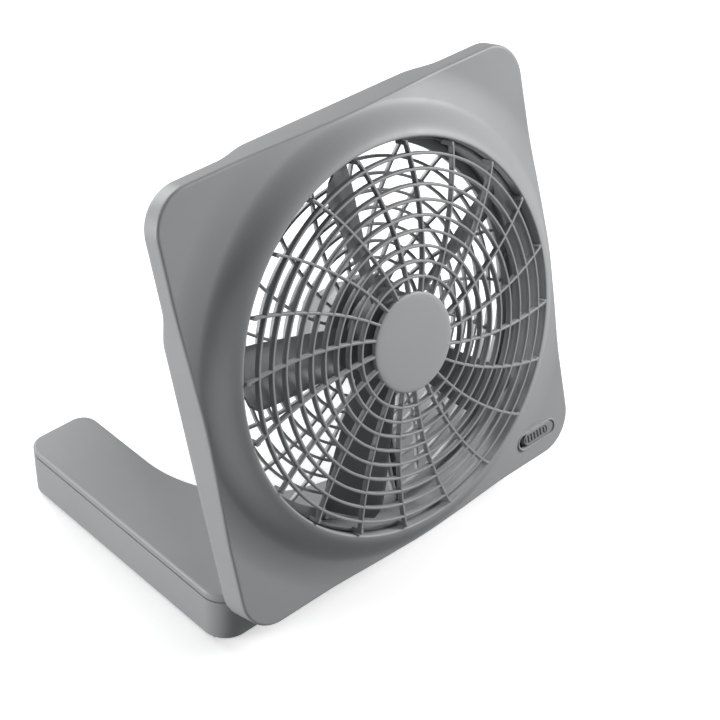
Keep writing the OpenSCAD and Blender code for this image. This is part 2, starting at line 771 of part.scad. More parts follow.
module battery_door(x) color(body_grey) {
    rail_l = base_back - base_wall - door_travel - 8 - door_front;
    difference() {
        union() {
            intersection() {
                slab(floor_z, floor_z + base_floor_t) base_outline();
                translate([x * arm_x - door_w / 2, door_front, 0]) cube([door_w, far, far]);
            }
            // Rails that slide above the tray's floor
            translate([x * arm_x - door_w / 2 - door_lip, door_front + 4,
                floor_z + base_floor_t + door_clear])
                cube([door_lip + 2, rail_l, rail_t]);
            translate([x * arm_x + door_w / 2 - 2, door_front + 4,
                floor_z + base_floor_t + door_clear])
                cube([door_lip + 2, rail_l, rail_t]);
            for (s = [-1, 1]) translate([x * arm_x + s * (door_w / 2 - 1) - 1, door_front + 4,
                floor_z + eps])
                cube([2, rail_l, base_floor_t + door_clear + eps]);
        }
        // Finger grooves
        for (i = [0 : 4]) translate([x * arm_x - 10, base_back - 34 + i * 4, floor_z - 0.4])
            cube([20, 1.6, 1]);
    }
}

module battery_door_left() battery_door(-1);
module battery_door_right() battery_door(1);

module cell(x, i) {
    translate([x * arm_x, row_back - cell_l * (i - 1), cell_z]) rotate([90, 0, 0]) {
        color([0.16, 0.16, 0.17]) translate([0, 0, 1.5]) cylinder(d = cell_d, h = cell_l - 1.5);
        color(steel) cylinder(d = 9.5, h = 2);
    }
}

module contact_springs() color(steel) for (x = [-1, 1]) {
    turns = 3;
    steps = 36;
    wire_r = 0.5;
    lead([for (i = [0 : steps])
        let(t = i / steps, r = 10 - 4.5 * t, a = 360 * turns * t)
        [x * arm_x + r * cos(a), row_front + plate_t + wire_r + (spring_l - 2 * wire_r) * t,
            cell_z + r * sin(a)]], wire_r, 6);
}

module contact_plates() color(steel) for (x = [-1, 1]) {
    translate([x * arm_x - 9, row_back, cell_z - 9]) cube([18, plate_t, 18]);
    translate([x * arm_x - 11, row_front, cell_z - 11]) cube([22, plate_t, 22]);
}

module socket_place() {
    translate([0, web_back, socket_z]) children();
}

module power_socket() color(black) socket_place() rotate([90, 0, 0]) difference() {
    union() {
        translate([0, 0, 0.2]) cylinder(r = socket_r - 0.1, h = socket_l - 0.2);
        translate([-socket_box / 2, -socket_box / 2, base_wall + 0.3])
            cube([socket_box, socket_box, socket_l - base_wall - 0.3]);
    }
    translate([0, 0, -1]) cylinder(d = jack_d, h = jack_l + 1.2);
    translate([0, 0, jack_l - 1]) cylinder(r = 1, h = 4);
}

module socket_pin() color(steel) socket_place() rotate([90, 0, 0])
    translate([0, 0, jack_l + 0.3]) cylinder(r = 1, h = 2.7);

module base_lead() color(black)
    lead([[0, web_back - socket_l, socket_z], [0, web_back - socket_l - 1.5, socket_z],
        [3, web_back - 17.6, socket_z - 0.6], [10, web_back - 20, socket_z - 3],
        [22, web_back - 22, socket_z - 6], [36, web_back - 25, socket_z - 6],
        [lug_x - pin_l / 2 - 10, hinge_y + 3, socket_z - 6],
        [lug_x - pin_l / 2 - 4, hinge_y + 3, socket_z - 6],
        [lug_x - pin_l / 2, hinge_y + 3, socket_z - 6]], lead_r);

module hinge_pin(x) color(steel) translate([x * lug_x, hinge_y, hinge_z]) rotate([0, 90, 0])
    cylinder(d = pin_d, h = pin_l, center = true);

module hinge_pin_left() hinge_pin(-1);
module hinge_pin_right() hinge_pin(1);

module base_screws() color(steel) base_screw_places() {
    disc(base_screw_r, floor_z + 1.2 - eps, tray_top + 2.8);
    disc(base_head_r, floor_z, floor_z + 1.2);
}

module rubber_feet() color(black) {
    slab(0, floor_z) slot_shape(2 * lug_x, foot_w + 1);
    for (x = [-1, 1]) translate([x * (base_w / 2 - foot_w / 2 - 2), base_back - 45, 0])
        rotate([0, 0, 90]) slab(0, floor_z) slot_shape(foot_l, foot_w);
}

front_shell();
front_grille();
hub_cap();
rear_shell();
rear_grille();
motor_cover();
housing_screws();
grille_screws();
motor_can();
motor_magnets();
motor_end_cap();
front_bush();
rear_bush();
motor_screws();
motor_leads();
impeller();
motor_shaft();
motor_armature();
commutator();
switch_slider();
switch_body();
switch_screws();
speed_resistor();
control_board();
base_lid();
base_tray();
battery_door_left();
battery_door_right();
cell(-1, 1);  // cell_left_1
cell(-1, 2);  // cell_left_2
cell(-1, 3);  // cell_left_3
cell(1, 1);  // cell_right_1
cell(1, 2);  // cell_right_2
cell(1, 3);  // cell_right_3
contact_springs();
contact_plates();
power_socket();
socket_pin();
base_lead();
hinge_pin_left();
hinge_pin_right();
base_screws();
rubber_feet();
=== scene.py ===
# Folding battery box fan: the looks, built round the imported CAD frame.
import json
import math
import bmesh
import bpy
import numpy as np
from mathutils import Matrix, Vector


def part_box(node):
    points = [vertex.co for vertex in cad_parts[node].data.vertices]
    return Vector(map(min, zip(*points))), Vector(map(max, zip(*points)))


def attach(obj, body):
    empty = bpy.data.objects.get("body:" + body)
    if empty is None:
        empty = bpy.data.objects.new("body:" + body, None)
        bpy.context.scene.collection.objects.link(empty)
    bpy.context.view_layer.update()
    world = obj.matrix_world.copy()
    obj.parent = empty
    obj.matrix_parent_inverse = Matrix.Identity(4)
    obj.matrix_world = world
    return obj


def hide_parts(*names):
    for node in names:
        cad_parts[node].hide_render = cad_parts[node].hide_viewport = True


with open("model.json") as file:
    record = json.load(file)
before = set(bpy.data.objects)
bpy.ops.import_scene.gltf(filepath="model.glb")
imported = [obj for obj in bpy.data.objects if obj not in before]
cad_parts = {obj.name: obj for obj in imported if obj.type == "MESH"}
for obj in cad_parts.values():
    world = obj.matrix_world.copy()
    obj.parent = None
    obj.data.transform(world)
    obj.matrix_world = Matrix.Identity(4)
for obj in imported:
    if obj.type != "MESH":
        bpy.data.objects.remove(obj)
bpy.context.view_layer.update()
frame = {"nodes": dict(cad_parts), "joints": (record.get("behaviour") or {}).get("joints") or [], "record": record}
joints = {j["name"]: j for j in frame["joints"]}
MM = 0.001

# The housing's own frame: origin at the middle of the lip, u right, v up, n out of the grille
SPIN = joints["impeller_spin"]
LIP = Vector(SPIN["pos_m"])
N_DIR = Vector(SPIN["axis"]).normalized()
U_DIR = Vector((1, 0, 0))
V_DIR = N_DIR.cross(U_DIR)


def to_world(points):
    """Points in the housing's frame, in millimetres, to metres in the row frame."""
    p = np.asarray(points, float).reshape(-1, 3) * MM
    return (np.array(LIP) + p[:, :1] * np.array(U_DIR) + p[:, 1:2] * np.array(V_DIR)
            + p[:, 2:] * np.array(N_DIR))


def plain(points):
    return np.asarray(points, float).reshape(-1, 3) * MM


# ---- Camera ----
def make_camera():
    target = LIP + Vector((-0.03817, 0, 0.00418))
    place = target + 1.12808 * Vector((-0.5460, -0.5712, 0.6129))
    ahead = (target - place).normalized()
    right = ahead.cross(Vector((0, 0, 1))).normalized()
    down = ahead.cross(right)
    roll = math.radians(-1.2)
    side = math.cos(roll) * right + math.sin(roll) * down
    down = -math.sin(roll) * right + math.cos(roll) * down
    cam = bpy.data.cameras.new("Camera")
    cam.sensor_width = 36
    cam.lens = 36 * 1877.8 / 720
    cam.clip_end = 20
    obj = bpy.data.objects.new("Camera", cam)
    bpy.context.scene.collection.objects.link(obj)
    m = Matrix((side, -down, -ahead)).transposed().to_4x4()
    m.translation = place
    obj.matrix_world = m
    bpy.context.scene.camera = obj


make_camera()


# ---- Materials ----
def nodes_of(name):
    mat = bpy.data.materials.new(name)
    mat.use_nodes = True
    nt = mat.node_tree
    return mat, nt, nt.nodes["Principled BSDF"]


def noise(nt, coord, scale, detail=2.0, rough=0.5):
    n = nt.nodes.new("ShaderNodeTexNoise")
    n.inputs["Scale"].default_value = scale
    n.inputs["Detail"].default_value = detail
    n.inputs["Roughness"].default_value = rough
    nt.links.new(coord, n.inputs["Vector"])
    return n.outputs["Fac"]


def ranged(nt, value, low, high):
    m = nt.nodes.new("ShaderNodeMapRange")
    m.inputs["From Min"].default_value = 0.3
    m.inputs["From Max"].default_value = 0.7
    m.inputs["To Min"].default_value = low
    m.inputs["To Max"].default_value = high
    nt.links.new(value, m.inputs["Value"])
    return m.outputs["Result"]


def mixed(nt, value, a, b):
    ramp = nt.nodes.new("ShaderNodeValToRGB")
    ramp.color_ramp.elements[0].position = 0.3
    ramp.color_ramp.elements[1].position = 0.7
    ramp.color_ramp.elements[0].color = (*a, 1)
    ramp.color_ramp.elements[1].color = (*b, 1)
    nt.links.new(value, ramp.inputs["Fac"])
    return ramp.outputs["Color"]


def bumped(nt, heights, shader):
    """heights: (value, distance in metres, strength) from coarse to fine."""
    last = None
    for value, distance, strength in heights:
        b = nt.nodes.new("ShaderNodeBump")
        b.inputs["Distance"].default_value = distance
        b.inputs["Strength"].default_value = strength
        nt.links.new(value, b.inputs["Height"])
        if last is not None:
            nt.links.new(last, b.inputs["Normal"])
        last = b.outputs["Normal"]
    nt.links.new(last, shader.inputs["Normal"])


def plastic(name, grey, rough=0.42, grain=0.00004, spread=0.03, spec=0.45):
    """Moulded satin plastic: a fine spark-eroded grain, faint flow marks and handling marks."""
    mat, nt, sh = nodes_of(name)
    co = nt.nodes.new("ShaderNodeTexCoord").outputs["Object"]
    broad = noise(nt, co, 9, 3, 0.55)
    fine = noise(nt, co, 1700, 2, 0.6)
    pits = noise(nt, co, 3600, 1, 0.5)
    a = [c * (1 - spread) for c in grey]
    b = [min(1, c * (1 + spread)) for c in grey]
    nt.links.new(mixed(nt, broad, a, b), sh.inputs["Base Color"])
    nt.links.new(ranged(nt, noise(nt, co, 38, 4, 0.6), rough - 0.04, rough + 0.05), sh.inputs["Roughness"])
    sh.inputs["Specular IOR Level"].default_value = spec
    bumped(nt, [(broad, 0.0003, 0.15), (fine, grain, 0.55), (pits, grain * 0.6, 0.4)], sh)
    return mat


def metal(name, colour, rough=0.3, stretch=(1, 1, 30)):
    """Drawn or turned metal with fine lines and a slightly uneven plating."""
    mat, nt, sh = nodes_of(name)
    co = nt.nodes.new("ShaderNodeTexCoord").outputs["Object"]
    mp = nt.nodes.new("ShaderNodeMapping")
    mp.inputs["Scale"].default_value = stretch
    nt.links.new(co, mp.inputs["Vector"])
    lines = noise(nt, mp.outputs["Vector"], 420, 3, 0.6)
    broad = noise(nt, co, 60, 3, 0.6)
    a = [c * 0.88 for c in colour]
    nt.links.new(mixed(nt, broad, a, colour), sh.inputs["Base Color"])
    nt.links.new(ranged(nt, lines, rough - 0.06, rough + 0.1), sh.inputs["Roughness"])
    sh.inputs["Metallic"].default_value = 1.0
    bumped(nt, [(broad, 0.0002, 0.2), (lines, 0.00003, 0.5)], sh)
    return mat


def rubber(name, colour, rough=0.7):
    mat, nt, sh = nodes_of(name)
    co = nt.nodes.new("ShaderNodeTexCoord").outputs["Object"]
    broad = noise(nt, co, 45, 4, 0.6)
    fine = noise(nt, co, 1100, 2, 0.6)
    a = [c * 0.8 for c in colour]
    nt.links.new(mixed(nt, broad, a, colour), sh.inputs["Base Color"])
    nt.links.new(ranged(nt, fine, rough - 0.08, rough + 0.1), sh.inputs["Roughness"])
    bumped(nt, [(broad, 0.0002, 0.2), (fine, 0.00006, 0.5)], sh)
    return mat


GREY = (0.335, 0.342, 0.352)
MATS = {
    "body_plastic": plastic("body_plastic", GREY, 0.46),
    "grille_plastic": plastic("grille_plastic", (0.315, 0.322, 0.332), 0.38, 0.00002),
    "cap_plastic": plastic("cap_plastic", (0.385, 0.393, 0.405), 0.48, 0.00003),
    "blade_plastic": plastic("blade_plastic", (0.15, 0.153, 0.158), 0.34, 0.00002),
    "slider_plastic": plastic("slider_plastic", (0.27, 0.275, 0.283), 0.42, 0.00003),
    "motor_steel": metal("motor_steel", (0.62, 0.62, 0.63), 0.34),
    "shaft_steel": metal("shaft_steel", (0.68, 0.68, 0.70), 0.22, (30, 1, 1)),
    "screw_steel": metal("screw_steel", (0.60, 0.60, 0.61), 0.36, (1, 1, 1)),
    "contact_steel": metal("contact_steel", (0.72, 0.70, 0.66), 0.26, (1, 1, 12)),
    "bush_brass": metal("bush_brass", (0.62, 0.45, 0.20), 0.42, (1, 1, 1)),
    "commutator_copper": metal("commutator_copper", (0.66, 0.34, 0.18), 0.36, (1, 30, 1)),
    "ferrite": rubber("ferrite", (0.05, 0.05, 0.052), 0.6),
    "armature_iron": metal("armature_iron", (0.34, 0.29, 0.25), 0.5, (1, 30, 30)),
    "black_plastic": plastic("black_plastic", (0.012, 0.012, 0.013), 0.45, 0.00003),
    "board_green": plastic("board_green", (0.015, 0.09, 0.035), 0.35, 0.00002),
    "resistor_ceramic": plastic("resistor_ceramic", (0.50, 0.45, 0.34), 0.6, 0.00005),
    "cell_jacket": plastic("cell_jacket", (0.03, 0.03, 0.033), 0.3, 0.00001),
    "lead_insulation": rubber("lead_insulation", (0.03, 0.03, 0.032), 0.5),
    "foot_rubber": rubber("foot_rubber", (0.018, 0.018, 0.018), 0.75),
}
for part in frame["record"]["subparts"]:
    node = frame["nodes"][part["node"]]
    node.data.materials.clear()
    node.data.materials.append(MATS[part["material_slot"]])


# ---- Mesh helpers ----
def add_mesh(name, verts, faces, slot, body, replaces=(), sharp=38, cutters=()):
    me = bpy.data.meshes.new(name)
    me.from_pydata([tuple(map(float, v)) for v in verts], [], faces)
    me.update()
    obj = bpy.data.objects.new(name, me)
    bpy.context.scene.collection.objects.link(obj)
    bm = bmesh.new()
    bm.from_mesh(me)
    bmesh.ops.remove_doubles(bm, verts=bm.verts, dist=1e-6)
    bmesh.ops.recalc_face_normals(bm, faces=bm.faces)
    bm.to_mesh(me)
    bm.free()
    for i, cutter in enumerate(cutters):
        mod = obj.modifiers.new("cut%d" % i, "BOOLEAN")
        mod.operation = "DIFFERENCE"
        mod.solver = "EXACT"
        mod.object = cutter
    if cutters:
        bpy.context.view_layer.update()
        done = bpy.data.meshes.new_from_object(obj.evaluated_get(bpy.context.evaluated_depsgraph_get()))
        obj.modifiers.clear()
        obj.data = done
        for cutter in cutters:
            bpy.data.objects.remove(cutter)
    me = obj.data
    me.materials.clear()
    me.materials.append(MATS[slot])
    for p in me.polygons:
        p.use_smooth = True
    me.set_sharp_from_angle(angle=math.radians(sharp))
    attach(obj, body)
    if replaces:
        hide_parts(*replaces)
    return obj


class Builder:
    """Collects several grids and outlines into one mesh."""

    def __init__(self):
        self.verts, self.faces = [], []

    def grid(self, rows, close_row=True, close_col=False, cap_first=False, cap_last=False):
        rows = [np.asarray(r, float) for r in rows]
        base, n, m = len(self.verts), len(rows[0]), len(rows)
        for r in rows:
            self.verts.extend(r.tolist())
        for i in range(m if close_col else m - 1):
            a, b = base + i * n, base + ((i + 1) % m) * n
            for k in range(n if close_row else n - 1):
                q = (k + 1) % n
                self.faces.append((a + k, a + q, b + q, b + k))
        if cap_first:
            self.faces.append(tuple(base + k for k in reversed(range(n))))
        if cap_last:
            self.faces.append(tuple(base + (m - 1) * n + k for k in range(n)))

    def box(self, low, high):
        (a, b, c), (d, e, f) = low, high
        v = [(x, y, z) for z in (c, f) for x, y in ((a, b), (d, b), (d, e), (a, e))]
        n = len(self.verts)
        self.verts.extend(v)
        self.faces += [tuple(n + i for i in q) for q in
                       ((3, 2, 1, 0), (4, 5, 6, 7), (0, 1, 5, 4), (1, 2, 6, 5), (2, 3, 7, 6), (3, 0, 4, 7))]


def circle(r, n, count=256, start=0.0):
    a = start + np.arange(count) * 2 * math.pi / count
    return np.c_[r * np.cos(a), r * np.sin(a), np.full(count, n)]


def revolve(b, profile, count=256, close_col=False):
    b.grid([circle(r, n, count) for r, n in profile], close_col=close_col)


def bar_section(w, d, r=0.55, steps=3):
    """A rounded bar's section: x across, y from 0 at the front to -d."""
    pts = []
    for cx, cy, a0 in ((w / 2 - r, -r, 0), (-w / 2 + r, -r, 90), (-w / 2 + r, -d + r, 180),
                       (w / 2 - r, -d + r, 270)):
        for i in range(steps + 1):
            a = math.radians(a0 + 90 * i / steps)
            pts.append((cx + r * math.cos(a), cy + r * math.sin(a)))
    return np.array(pts)


def ring_bar(b, r, n, w, d, count=256):
    sec = bar_section(w, d)
    b.grid([circle(r + x, n + y, count) for x, y in sec], close_col=True)


def smooth(t):
    t = np.clip(t, 0, 1)
    return t * t * (3 - 2 * t)


def stadium(length, width, count=64):
    r, h = width / 2, (length - width) / 2
    half = count // 2
    a = np.r_[np.linspace(-math.pi / 2, math.pi / 2, half), np.linspace(math.pi / 2, 3 * math.pi / 2, half)]
    cx = np.r_[np.full(half, h), np.full(half, -h)]
    return np.c_[cx + r * np.cos(a), r * np.sin(a)]


# ---- Housing front ----
HALF = (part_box("front_shell")[1].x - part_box("front_shell")[0].x) / 2 / MM
CORNER, OPEN_R, SWELL_H = 26.0, HALF - 21.0, 18.0
STEEP_W, FADE_W, STEEP_SHARE = 22.0, 42.0, 0.6
SWITCH_U, SWITCH_V, SLIDER_SHIFT = HALF - 33.0, 18.0 - HALF, 2.3
LUG_X, HINGE_UP = 78.0, 12.0
REAR_N, FLANGE_N, INNER_N = -38.0, -31.0, -35.5
BUMP_U, BUMP_V, BUMP_S = 62.0, 50.0, 27.0


def outline(theta, inset=0.0):
    """Points and outward normals of the housing's rounded square at polar angles."""
    w = HALF - inset
    cr = CORNER - inset
    d = np.c_[np.cos(theta), np.sin(theta)]
    t = w / np.max(np.abs(d), axis=1)
    p = d * t[:, None]
    nrm = np.where(np.abs(d[:, :1]) > np.abs(d[:, 1:]), np.c_[np.sign(d[:, 0]), 0 * d[:, 0]],
                   np.c_[0 * d[:, 0], np.sign(d[:, 1])])
    c = np.sign(d) * (w - cr)
    corner = (np.abs(p) > w - cr).all(axis=1)
    dc = (d * c).sum(1)
    disc = np.maximum(dc ** 2 - (c ** 2).sum(1) + cr ** 2, 0)
    tc = dc + np.sqrt(disc)
    pc = d * tc[:, None]
    p = np.where(corner[:, None], pc, p)
    nrm = np.where(corner[:, None], (pc - c) / cr, nrm)
    return p, nrm


def face_n(p):
    r = np.hypot(p[:, 0], p[:, 1]) - OPEN_R
    return -SWELL_H * (STEEP_SHARE * smooth(r / STEEP_W) + (1 - STEEP_SHARE) * smooth(r / FADE_W))


def rear_depth(p):
    top = REAR_N + (FLANGE_N - REAR_N) * smooth((np.abs(p[:, 0]) - BUMP_U) / BUMP_S)
    top = np.where(p[:, 1] < 0, FLANGE_N, top)
    side = REAR_N + (FLANGE_N - REAR_N) * smooth((p[:, 1] - BUMP_V) / BUMP_S)
    return np.minimum(top, side)


def front_shell():
    b = Builder()
    theta = np.arange(1080) * 2 * math.pi / 1080
    d = np.c_[np.cos(theta), np.sin(theta)]
    p, nrm = outline(theta)
    edge_r, lip_r = 1.9, 1.3

    def at(q, n):
        return np.c_[q, n if np.ndim(n) else np.full(len(q), n)]

    rows = []
    # Outside of the duct, duct wall with the grille's ledge, then the rounded lip
    for r, n in ((OPEN_R + 2.4, -20), (OPEN_R + 2.4, INNER_N), (OPEN_R, INNER_N), (OPEN_R, INNER_N + 0.3),
                 (OPEN_R, -24), (OPEN_R, -12.0), (OPEN_R, -11.8), (OPEN_R - 1.2, -11.8), (OPEN_R - 1.4, -11.6),
                 (OPEN_R - 1.4, -10.0), (OPEN_R, -10.0), (OPEN_R, -9.8), (OPEN_R, -6)):
        rows.append(at(d * r, n))
    n0 = float(face_n(np.array([[OPEN_R + lip_r, 0]]))[0])
    for i in range(7):
        a = math.radians(90 - 15 * i)
        rows.append(at(d * (OPEN_R + lip_r * (1 - math.sin(a))), n0 - lip_r * (1 - math.cos(a))))
    c = d * (OPEN_R + lip_r)
    inner = p - nrm * edge_r
    steps = 52
    for i in range(1, steps + 1):
        q = c + (inner - c) * (i / steps) ** 1.15
        rows.append(at(q, face_n(q)))
    top = face_n(inner)
    for i in range(1, 8):
        a = math.radians(90 * i / 7)
        rows.append(at(p - nrm * edge_r * (1 - math.sin(a)), top - edge_r * (1 - math.cos(a))))
    low = rear_depth(p)
    start = top - edge_r
    for t in (0.2, 0.5, 0.8):
        rows.append(at(p, start + (low + 0.7 - start) * t))
    for i in range(4):
        a = math.radians(30 * i)
        rows.append(at(p - nrm * 0.7 * (1 - math.cos(a)), low + 0.7 * (1 - math.sin(a))))
    rows.append(at(p - nrm * 1.9, low))
    rows.append(at(p - nrm * 2.4, low + 0.5))
    rows.append(at(p - nrm * 2.5, low + 6))
    b.grid(rows)
    # The slot for the switch: its faces go, and a raised rim with a hidden flange closes the edge
    cu, cv = SWITCH_U, SWITCH_V
    cn = float(face_n(np.array([[cu, cv]]))[0])
    v = np.array(b.verts)
    keep = []
    for f in b.faces:
        m = v[list(f)].mean(0)
        x, y = m[0] - cu, m[1] - cv
        inside = math.hypot(max(abs(x) - 12.2, 0), y) < 5.6 and abs(m[2] - cn) < 3
        if not inside:
            keep.append(f)
    b.faces = keep
    face_here = lambda s: face_n(s + np.array([cu, cv]))

    def rim(length, width, dn, level=0.0):
        s = stadium(length, width)
        n = face_here(s) if level == "face" else np.full(len(s), cn)
        return np.c_[s[:, 0] + cu, s[:, 1] + cv, n + dn]
    b.grid([rim(40.4, 16.0, -0.06, "face"), rim(37.9, 13.5, -0.06, "face"), rim(37.2, 12.8, 0.0, "face"),
            rim(37.0, 12.6, 0.9), rim(36.8, 12.4, 1.25), rim(36.3, 11.9, 1.46), rim(35.6, 11.2, 1.5),
            rim(34.8, 10.4, 1.46), rim(34.3, 9.9, 1.25), rim(34.0, 9.6, 0.9), rim(34.0, 9.6, -2.5),
            rim(37.0, 12.6, -2.5)])
    return add_mesh("front_shell_skin", to_world(b.verts), b.faces, "body_plastic", "housing",
                    ["front_shell"], 30)


front_shell()


# ---- Housing back ----
def rear_shell():
    b = Builder()
    theta = np.arange(720) * 2 * math.pi / 720
    d = np.c_[np.cos(theta), np.sin(theta)]
    p, nrm = outline(theta, 2.8)
    hole, step_r = OPEN_R - 4.0, OPEN_R + 5.3

    def at(q, n):
        return np.c_[q, n if np.ndim(n) else np.full(len(q), n)]
    level = rear_depth(d * (step_r + 1.0))
    rows = [at(d * (OPEN_R + 2.6), INNER_N), at(d * hole, INNER_N), at(d * hole, INNER_N - 1.0),
            at(d * hole, REAR_N + 0.8), at(d * (hole + 0.25), REAR_N + 0.25), at(d * (hole + 0.8), REAR_N)]
    rows += [at(d * (step_r - 0.8), REAR_N), at(d * (step_r - 0.2), REAR_N + np.minimum(level - REAR_N, 0.3))]
    rows += [at(d * step_r, np.minimum(level, REAR_N + 0.9)), at(d * step_r, np.maximum(level - 0.8, REAR_N)),
             at(d * (step_r + 0.3), np.maximum(level - 0.2, REAR_N)), at(d * (step_r + 1.0), level)]
    c, inner = d * (step_r + 1.0), p - nrm * 1.0
    for i in range(1, 31):
        q = c + (inner - c) * i / 30
        rows.append(at(q, rear_depth(q)))
    low = rear_depth(inner)
    for i in range(1, 4):
        a = math.radians(30 * i)
        rows.append(at(p - nrm * (1.0 - math.sin(a)), low + 1.0 - math.cos(a)))
    rows.append(at(p, low + 8))
    b.grid(rows)
    # Hinge lugs: a round eye with a neck that leaves the back of the housing
    pivot = Vector(joints["housing_fold"]["pos_m"]) - LIP
    below, back, lug_r, lug_w = -pivot.dot(V_DIR) / MM, -pivot.dot(N_DIR) / MM, 6.0, 16.0
    for x in (-LUG_X, LUG_X):
        arc = [math.radians(a) for a in np.linspace(180, 360, 25)]
        prof = [(lug_r * math.cos(a), lug_r * math.sin(a)) for a in arc]
        prof = [(-lug_r, 10.5)] + prof + [(lug_r, 10.5)]
        prof = np.array(prof)
        rows = []
        for dx, shrink in ((-lug_w / 2, 0.9), (-lug_w / 2 + 0.25, 0.35), (-lug_w / 2 + 0.9, 0.0),
                           (lug_w / 2 - 0.9, 0.0), (lug_w / 2 - 0.25, 0.35), (lug_w / 2, 0.9)):
            k = (lug_r - shrink) / lug_r
            height = np.where(prof[:, 1] < 0, prof[:, 1] * k, prof[:, 1])
            rows.append(np.c_[np.full(len(prof), x + dx), -below + prof[:, 0] * k, -back + height])
        b.grid(rows, cap_first=True, cap_last=True)
    return add_mesh("rear_shell_skin", to_world(b.verts), b.faces, "body_plastic", "housing",
                    ["rear_shell"], 30)


rear_shell()


# ---- Grilles ----
HUB_R, RINGS, SPOKES, BAR_W, BAR_D = 32.0, 9, 20, 1.8, 4.0
SPOKE_STEP, SPOKE_SWIRL = 360 / SPOKES, math.radians(13.5)
RIM_RISE, DOME_H = 1.5, 6.5
EDGE_R = OPEN_R - 0.4
PITCH = (OPEN_R - HUB_R) / (RINGS + 1)


def dome(r):
    return RIM_RISE + DOME_H * (1 - (r / OPEN_R) ** 2)


def sweep(b, centre, w, d, r=0.55):
    """A bar along a path in the housing's frame, kept upright along n."""
    sec = bar_section(w, d, r)
    c = np.asarray(centre, float)
    rows = []
    for i in range(len(c)):
        t = c[min(i + 1, len(c) - 1)] - c[max(i - 1, 0)]
        t[2] = 0
        t /= np.linalg.norm(t)
        side = np.array([-t[1], t[0], 0])
        rows.append(np.array([c[i] + side * x + np.array([0, 0, y]) for x, y in sec]))
    b.grid(rows, cap_first=True, cap_last=True)


def front_grille():
    b = Builder()
    for k in range(1, RINGS + 1):
        r = HUB_R + k * PITCH
        ring_bar(b, r, dome(r), BAR_W, BAR_D)
    swirl = lambda r: SPOKE_SWIRL * (r - HUB_R) / (OPEN_R - HUB_R)
    for k in range(SPOKES):
        a0 = math.radians(10.5 + SPOKE_STEP * k)
        path = []
        for r in np.linspace(HUB_R - 2, EDGE_R - 1.2, 28):
            a = a0 + swirl(r)
            path.append((r * math.cos(a), r * math.sin(a), dome(r) - 0.05))
        sweep(b, path, BAR_W, BAR_D)
        # The spoke's end, turned back into the duct, down to the grille's ring
        a = a0 + swirl(EDGE_R)
        e, s = np.array([math.cos(a), math.sin(a)]), np.array([-math.sin(a), math.cos(a)])
        rows = []
        for n, cut in ((1.62, 0.5), (1.42, 0.12), (1.0, 0.0), (-7.6, 0.0)):
            x0, x1, h = EDGE_R - 3.2 + cut, EDGE_R - 0.4 - cut, BAR_W / 2 - cut
            rows.append([[*(e * x + s * y), n] for x, y in ((x0, -h), (x1, -h), (x1, h), (x0, h))])
        b.grid(rows, cap_first=True, cap_last=True)
    # Thin ring in the duct, and the plate under the plain disc
    revolve(b, [(EDGE_R - 1.6, -9.8), (EDGE_R - 1.3, -10), (EDGE_R - 0.2, -10), (EDGE_R - 0.02, -9.8),
                (EDGE_R - 0.02, -7.8), (EDGE_R - 0.3, -7.5), (EDGE_R - 1.3, -7.5), (EDGE_R - 1.6, -7.8)],
            close_col=True)
    revolve(b, [(2.0, 6.2), (30.4, 6.2), (31.0, 5.8), (31.2, 5.2), (31.2, 4.2), (30.6, 3.9), (2.0, 3.9)],
            128, close_col=True)
    return add_mesh("front_grille_bars", to_world(b.verts), b.faces, "grille_plastic", "housing",
                    ["front_grille"], 50)


front_grille()


def hub_cap():
    b = Builder()
    prof = [(0.01, 8.2), (10, 8.19), (20, 8.15), (27, 8.06), (29.5, 7.95), (30.8, 7.78), (31.5, 7.5),
            (31.9, 7.1), (32.0, 6.7), (32.0, 6.35), (31.7, 6.2), (28, 6.2)]
    revolve(b, prof, 192)
    return add_mesh("hub_cap_disc", to_world(b.verts), b.faces, "cap_plastic", "housing", ["hub_cap"], 50)


hub_cap()


